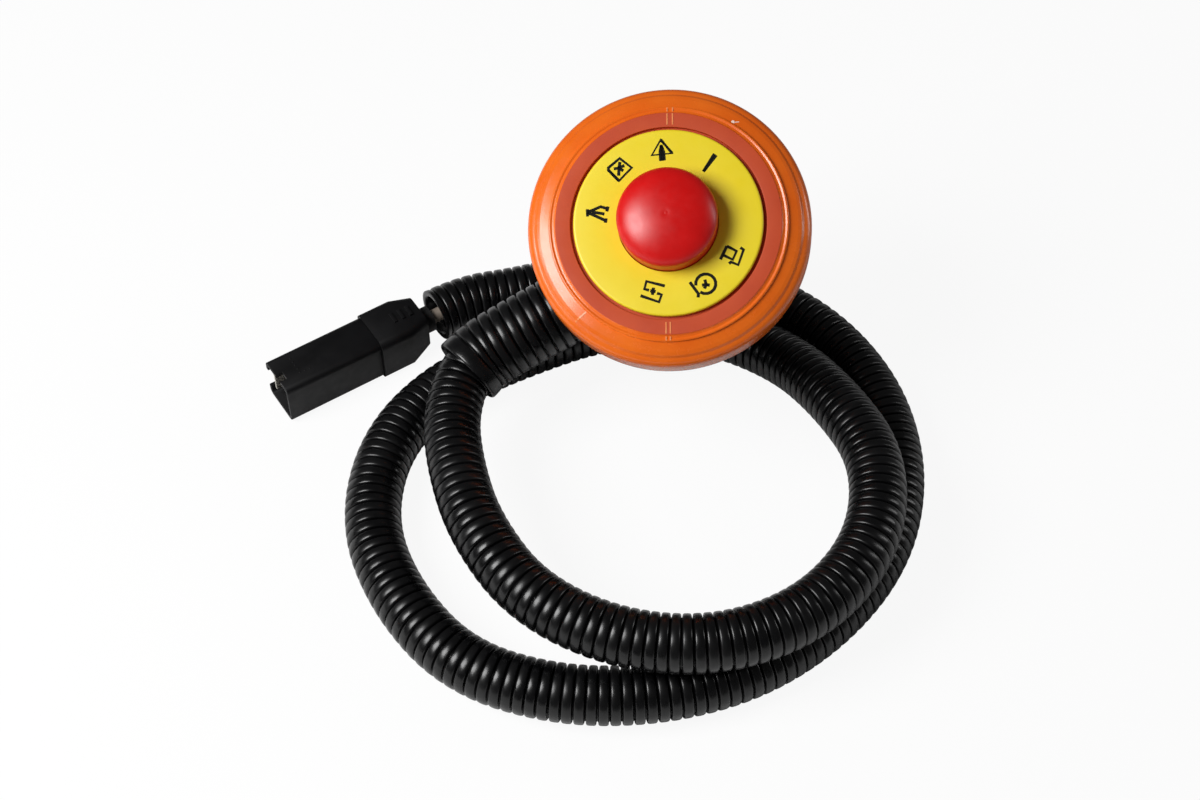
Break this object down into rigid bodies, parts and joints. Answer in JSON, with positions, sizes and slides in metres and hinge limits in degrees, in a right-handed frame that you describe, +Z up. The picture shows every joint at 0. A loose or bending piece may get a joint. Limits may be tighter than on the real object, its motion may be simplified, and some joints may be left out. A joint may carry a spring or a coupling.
{
  "type": "emergency stop push button",
  "caption": "Push-button head with a red mushroom cap on a ribbed orange flange, a marked label disc, a rear contact cover and a coiled corrugated conduit with a flat-contact plug",
  "frame": {"origin": "centre of the orange flange's rear plane, on the push axis", "axes": "+Z up from the surface the coil lies on; +Y away from the viewer; the push axis leans 29 degrees from +Z towards -Y"},
  "size_m": [0.2206, 0.1881, 0.1083],
  "materials": {
    "orange_plastic": "moulded, glossy with a matt step",
    "yellow_plastic": "moulded, satin",
    "red_plastic": "moulded, glossy",
    "black_plastic": "moulded, satin",
    "grey_plastic": "moulded, matt",
    "black_rubber": "moulded, matt",
    "zinc_steel": "zinc plated",
    "spring_steel": "drawn wire",
    "brass": "stamped",
    "tinned_brass": "tinned, stamped",
    "brown_lead": "extruded",
    "blue_lead": "extruded"
  },
  "bodies": {
    "base": {"flange_housing": "orange_plastic", "label_disc": "yellow_plastic", "guide_bush": "black_plastic", "detent_ring": "spring_steel", "bush_washer": "zinc_steel", "bush_nut": "black_plastic", "return_spring": "spring_steel", "contact_block": "grey_plastic", "block_lid": "black_plastic", "fixed_contacts": "brass", "terminal_screws": "zinc_steel", "rear_cover": "black_plastic", "cover_gasket": "black_rubber", "cover_screws": "zinc_steel", "wire_grommet": "black_rubber", "lead_brown": "brown_lead", "lead_blue": "blue_lead", "conduit": "black_plastic", "conduit_sleeve": "black_plastic", "plug_shell": "black_plastic", "plug_blades": "tinned_brass", "plug_body": "black_plastic", "plug_boot": "black_rubber", "plug_lead": "brown_lead"},
    "stem": {"plunger": "grey_plastic", "stem_clip": "spring_steel", "contact_bridge": "brass", "bridge_spring": "spring_steel"},
    "cap": {"button_cap": "red_plastic"}
  },
  "joints": [
    {"name": "button_push", "type": "slide", "parent": "base", "child": "stem", "axis": [0.0816, 0.4825, -0.8721], "range_m": [0, 0.0045], "deforming": ["return_spring"]},
    {"name": "button_twist", "type": "hinge", "parent": "stem", "child": "cap", "pos_m": [0, 0, 0], "axis": [0.0816, 0.4825, -0.8721], "range_deg": [0, 45], "stiffness_Nm_per_rad": 0.01}
  ]
}
